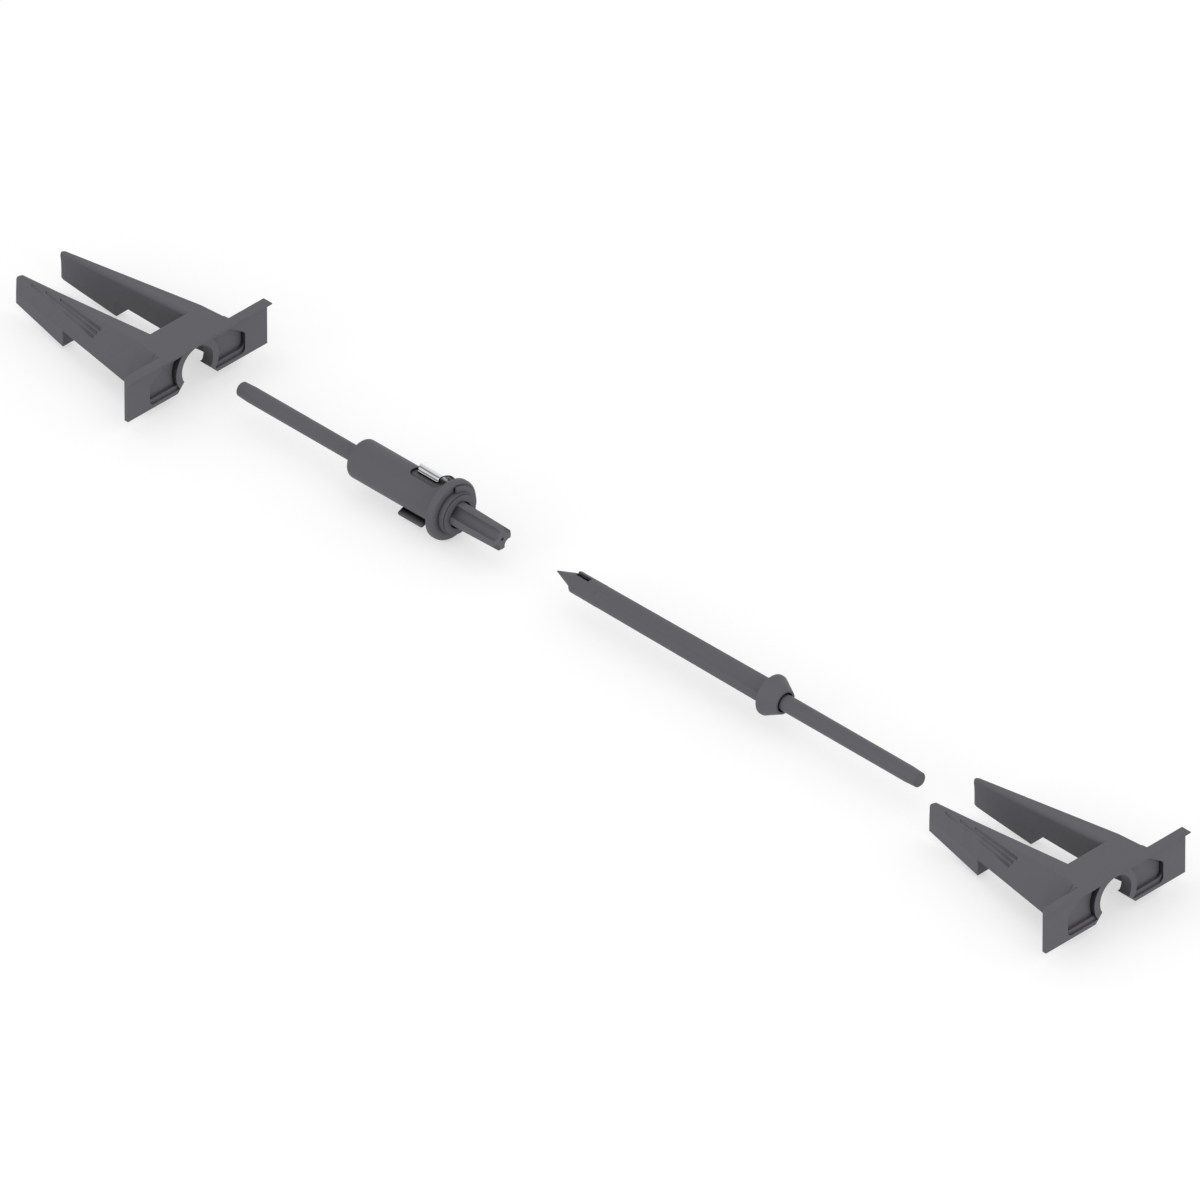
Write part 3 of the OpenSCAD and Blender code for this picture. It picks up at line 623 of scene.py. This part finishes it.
# %% Wind one spring
def wind_spring(name, turns, wire):
    """A spring of round wire in the place of the solid with this name."""
    low, high = (Vector(c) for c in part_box(name))
    spring = new_object(name + "_wire", bpy.data.meshes.new("empty"))
    modifier = spring.modifiers.new("spring", "NODES")
    modifier.node_group = wire_spring
    outer = (high.y - low.y) / 2
    for label, value in (("Turns", float(turns)), ("Mean Radius", outer - wire),
                         ("Wire Radius", wire), ("Length", high.x - low.x - 2 * wire),
                         ("Finish", finishes["spring_steel"])):
        modifier[spring_socket[label]] = value
    bpy.context.view_layer.update()
    shape = spring.evaluated_get(bpy.context.evaluated_depsgraph_get())
    mesh = bpy.data.meshes.new_from_object(shape)
    spring.modifiers.clear()
    spring.data = mesh
    for v in mesh.vertices:          # the spiral rises along Z: lay it along X, on the axis
        v.co = Vector((low.x + wire + v.co.z, v.co.x, AXIS_Z + v.co.y))
    print(name, len(mesh.polygons), "faces")
    return spring


# %% Make both springs
WIRE = 0.2 * MM              # radius of the wire
for name, joint, turns in (("spigot_spring", "spigot_slide", 9),
                           ("return_spring", "plunger_slide", 13)):
    spring = wind_spring(name, turns, WIRE)
    low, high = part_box(name)
    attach(spring, "set_body")
    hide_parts(name)
    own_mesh(spring)

# %% [markdown]
# ## The sprung clip: its line
#
# The clip is one strip of bright sheet, bent round the back of the barrel. It could be bent from a
# flat strip with modifiers, but its bends have exact radii. Seen from its end it is a lip, a bow
# and a tab, so it is easier to draw that end view as a line and to pull it along the axis. This
# step draws the line. Its points are (Y, Z) pairs, measured from the axis.


# %% Round a bend
def fillet(a, corner, b, radius, steps=6):
    """Points that round the corner between a and b."""
    to_a, to_b = (a - corner).normalized(), (b - corner).normalized()
    half = to_a.angle(to_b) / 2
    reach = radius / math.tan(half)
    centre = corner + (to_a + to_b).normalized() * (radius / math.sin(half))
    start, stop = corner + to_a * reach, corner + to_b * reach
    arms = [(start - centre).lerp(stop - centre, i / steps) for i in range(steps + 1)]
    return [centre + arm.normalized() * radius for arm in arms]


def heading(degrees):
    """A direction in the end view: 0 is up, 90 is towards the back."""
    a = math.radians(degrees)
    return Vector((math.sin(a), math.cos(a)))


print("a square bend gets", len(fillet(heading(0), Vector((0, 0)), heading(90), 0.5)), "points")

# %% The bow
BOW_RADIUS = 5.625 * MM             # to the middle of the sheet
BOW_CENTRE = heading(64) * (1.1 * MM)
BOW_FROM, BOW_TO = 0.0, 205.0       # where its lip and its tab bend off, in degrees
LIP_ROOM, TAB_ROOM = 11.0, 4.0      # degrees of the bow that the two bends take up
BOW_STEPS = 72


def on_bow(degrees):
    """The point of the bow in this direction from its centre."""
    return BOW_CENTRE + heading(degrees) * BOW_RADIUS


bow_start, bow_stop = BOW_FROM + LIP_ROOM, BOW_TO - TAB_ROOM
bow = [on_bow(bow_start + (bow_stop - bow_start) * i / BOW_STEPS) for i in range(BOW_STEPS + 1)]
print("the bow goes round", bow_stop - bow_start, "degrees in", len(bow), "points")

# %% The whole line, from the lip's foot to the tab's end
FOOT_HEIGHT = 4.84 * MM             # of the foot over the axis, on the floor of the groove
FOOT_LENGTH = 0.45 * MM
FOOT_BEND, LIP_BEND, TAB_BEND = 0.18 * MM, 0.95 * MM, 0.3 * MM
TAB_LENGTH = 3.10 * MM
TAB_TURN = 45                       # degrees between the tab and the bow's last radius
NECK = 0.85 * MM                    # of the tab, before it widens to its pad
WIDENS = 0.02                       # share of the tab's length over which it widens
PAD_ROWS = (0.5, 0.76, 0.82, 0.88, 0.94, 1.0)    # close together at the rounded corners

lip_corner, tab_corner = on_bow(BOW_FROM), on_bow(BOW_TO)
foot_corner = Vector((lip_corner.x, FOOT_HEIGHT))
foot_end = foot_corner - Vector((FOOT_LENGTH, 0.0))
tab_end = tab_corner + heading(BOW_TO + TAB_TURN) * TAB_LENGTH
neck_end = NECK / TAB_LENGTH
profile = [foot_end] + fillet(foot_end, foot_corner, lip_corner, FOOT_BEND)
profile += fillet(foot_corner, lip_corner, bow[0], LIP_BEND, steps=12) + bow
profile += fillet(bow[-1], tab_corner, tab_end, TAB_BEND)
profile += [tab_corner.lerp(tab_end, t) for t in (neck_end, neck_end + WIDENS) + PAD_ROWS]
print("clip line:", len(profile), "points")

# %% [markdown]
# ## The sprung clip: its sheet
#
# The line is pulled along the axis as a grid. A fine grid keeps the bow smooth, which shows on
# bright metal. Each row of the grid has its own width: less near the two free ends, which rounds
# the corners of the strip, and a little less along the lip. The tab's pad is wider than its neck
# and set back along the axis.

# %% How far along the strip each point is
low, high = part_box("spring_clip")
run = [0.0]
for a, b in zip(profile, profile[1:]):
    run.append(run[-1] + (b - a).length)
print("the strip is", round(run[-1] / MM, 1), "mm long before it is bent")

# %% Where the strip's two edges run
TAB_SHIFT = 1.5 * MM                # the pad is set back by this
LIP_ZONE, LIP_FADE = 2.2 * MM, 1.0 * MM    # the lip ends here, and its narrowing fades over this
LIP_NARROWER = 0.4 * MM             # on each side
LIP_ROUND, TAB_ROUND = 0.3 * MM, 0.7 * MM  # radii of the corners
ROUND_SHARE = 0.6                   # a sheared corner is flatter than a quarter circle


def rounded_off(from_end, corner):
    """How far a rounded corner draws the edge in, at a distance from the strip's end."""
    if from_end >= corner:
        return 0.0
    return ROUND_SHARE * (corner - math.sqrt(max(0.0, corner ** 2 - (corner - from_end) ** 2)))


def strip_edges(s):
    """Where the strip starts and ends along the axis, at distance s from its first edge."""
    left, right = low[0] + TAB_SHIFT, high[0]
    if s > run[-1] - TAB_LENGTH + NECK:
        left, right = low[0], high[0] - TAB_SHIFT / 2
    lip_share = min(1.0, max(0.0, (LIP_ZONE - s) / LIP_FADE))
    corner = rounded_off(min(s, run[-1] - s), LIP_ROUND if lip_share else TAB_ROUND)
    draw_in = corner + LIP_NARROWER * lip_share
    return left + draw_in, right - draw_in


for part, s in (("lip", 0.0), ("bow", run[-1] / 2), ("pad", run[-1] - TAB_ROUND)):
    left, right = strip_edges(s)
    print(part, "is", round((right - left) / MM, 1), "mm wide")

# %% Fill the grid
ACROSS = 16                         # faces across the strip
COATED = 188.0                      # from this angle on, the strip has the dark coat
sheet = bmesh.new()
rows = []
for point, s in zip(profile, run):
    left, right = strip_edges(s)
    rows.append([sheet.verts.new((left + (right - left) * j / ACROSS, point.x, AXIS_Z + point.y))
                 for j in range(ACROSS + 1)])
coat_row = profile.index(min(bow, key=lambda p: (p - on_bow(COATED)).length))
for i, (one, other) in enumerate(zip(rows, rows[1:])):
    for j in range(ACROSS):
        face = sheet.faces.new((one[j], one[j + 1], other[j + 1], other[j]))
        face.material_index = int(i >= coat_row)
bmesh.ops.recalc_face_normals(sheet, faces=sheet.faces)
clip_mesh = bpy.data.meshes.new("clip_sheet")
sheet.to_mesh(clip_mesh)
sheet.free()
print("clip sheet:", len(clip_mesh.polygons), "faces, coated from row", coat_row)

# %% [markdown]
# ## The sprung clip: thickness and finish
#
# Solidify gives the sheet its thickness, half to each side of the line. It can also give the rim
# of the sheet its own finish, which paints the sheared edge of the strip nearly black, as shade,
# against its rolled faces. A small Bevel then breaks the edges, as tumbling does on the real strip.

# %% Finish the clip
SHEET = 0.35 * MM                   # thickness
WORN_EDGE = 0.06 * MM
clip = new_object("clip_sheet", clip_mesh)
thick = clip.modifiers.new("thickness", "SOLIDIFY")
thick.thickness = SHEET
thick.offset = 0.0
thick.material_offset_rim = 2       # the third finish below
worn = clip.modifiers.new("edge", "BEVEL")
worn.width = WORN_EDGE
worn.segments = 2
worn.limit_method = "ANGLE"
worn.angle_limit = math.radians(50)
for finish in ("clip_steel", "tab_coat", "cut_edge"):
    clip_mesh.materials.append(finishes[finish])
clip_mesh.shade_smooth()
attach(clip, "set_body")
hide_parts("spring_clip")
print("clip:", SHEET / MM, "mm sheet with", len(clip_mesh.materials), "finishes")

# %% [markdown]
# ## Floor
#
# The floor is like a light table: it keeps the faint shadows, and it also glows a little, which
# lifts the undersides of the set. More light on the set would turn an open floor white too, but it
# would also bleach the grey. So the glow is stronger only for what sees the floor directly or in a
# reflection, and the set is lit by the weaker one.


# %% Rays that see the background
def seen(tree):
    """One for camera, glossy and transmission rays, and nought for the rays that light the set."""
    path = add(tree, "ShaderNodeLightPath").outputs
    mirrored = plus(tree, path["Is Glossy Ray"], path["Is Transmission Ray"])
    return plus(tree, path["Is Camera Ray"], mirrored, clamp=True)


WHITE = (1.0, 1.0, 1.0, 1.0)
print("the background shows to camera, glossy and transmission rays")


# %% Floor
FLOOR_RADIUS, FLOOR_SIDES = 8.0, 96
FLOOR_GAP = 0.2 * MM                # under the set, so that the two never share a face
FLOOR_PAINT = (0.55, 0.55, 0.55, 1.0)
FLOOR_GLOW, FLOOR_PLUS = 0.26, 0.26


def make_floor():
    z = cad_box[0][2] - FLOOR_GAP
    angles = [2 * math.pi * i / FLOOR_SIDES for i in range(FLOOR_SIDES)]
    points = [(FLOOR_RADIUS * math.cos(a), FLOOR_RADIUS * math.sin(a), z) for a in angles]
    mesh = bpy.data.meshes.new("floor")
    mesh.from_pydata(points, [], [tuple(range(FLOOR_SIDES))])
    material = bpy.data.materials.new("pale_floor")
    material.use_nodes = True
    tree = material.node_tree
    tree.nodes.clear()
    strength = plus(tree, FLOOR_GLOW, times(tree, seen(tree), FLOOR_PLUS))
    paint = add(tree, "ShaderNodeBsdfDiffuse", {"Color": FLOOR_PAINT})
    glow = add(tree, "ShaderNodeEmission", {"Color": WHITE, "Strength": strength})
    total = add(tree, "ShaderNodeAddShader", {0: paint.outputs[0], 1: glow.outputs[0]})
    add(tree, "ShaderNodeOutputMaterial", {"Surface": total.outputs[0]})
    mesh.materials.append(material)
    return new_object("floor", mesh)


floor = make_floor()
print("floor at", round(floor.data.vertices[0].co.z / MM, 1), "mm")

# %% [markdown]
# ## World and lamps
#
# The light is soft and comes from everywhere, as in a white tent, with a slightly stronger side.
# The world gives most of it. What sees the world directly or in a reflection gets full white. Two
# large lamps, low at the front and at the side, add a little shape to the round pieces.


# %% World
TENT_LIGHT, TENT_PLUS = 0.80, 0.20


def make_world():
    world = bpy.data.worlds.new("tent")
    bpy.context.scene.world = world
    world.use_nodes = True
    tree = world.node_tree
    tree.nodes.clear()
    strength = plus(tree, TENT_LIGHT, times(tree, seen(tree), TENT_PLUS))
    sky = add(tree, "ShaderNodeBackground", {"Color": WHITE, "Strength": strength})
    add(tree, "ShaderNodeOutputWorld", {"Surface": sky.outputs[0]})


make_world()
print("the tent lights the set with", TENT_LIGHT, "and shows as", TENT_LIGHT + TENT_PLUS)


# %% Lamps
LAMP_SIZE = 1.2                     # metres across


def make_lamp(name, place, power):
    """A round lamp at a place in metres, turned towards the set."""
    lamp = bpy.data.lights.new(name, "AREA")
    lamp.shape = "DISK"
    lamp.size = LAMP_SIZE
    lamp.energy = power
    thing = new_object(name, lamp)
    thing.location = place
    thing.rotation_mode = "QUATERNION"
    thing.rotation_quaternion = Vector(place).to_track_quat("Z", "Y")
    print(name, "lamp of", power, "W,", round(Vector(place).length, 1), "m away")


make_lamp("key", place=(-0.3, -1.9, 0.9), power=6.0)
make_lamp("fill", place=(2.0, -0.3, 0.6), power=8.0)
bpy.context.scene.view_settings.view_transform = "Standard"
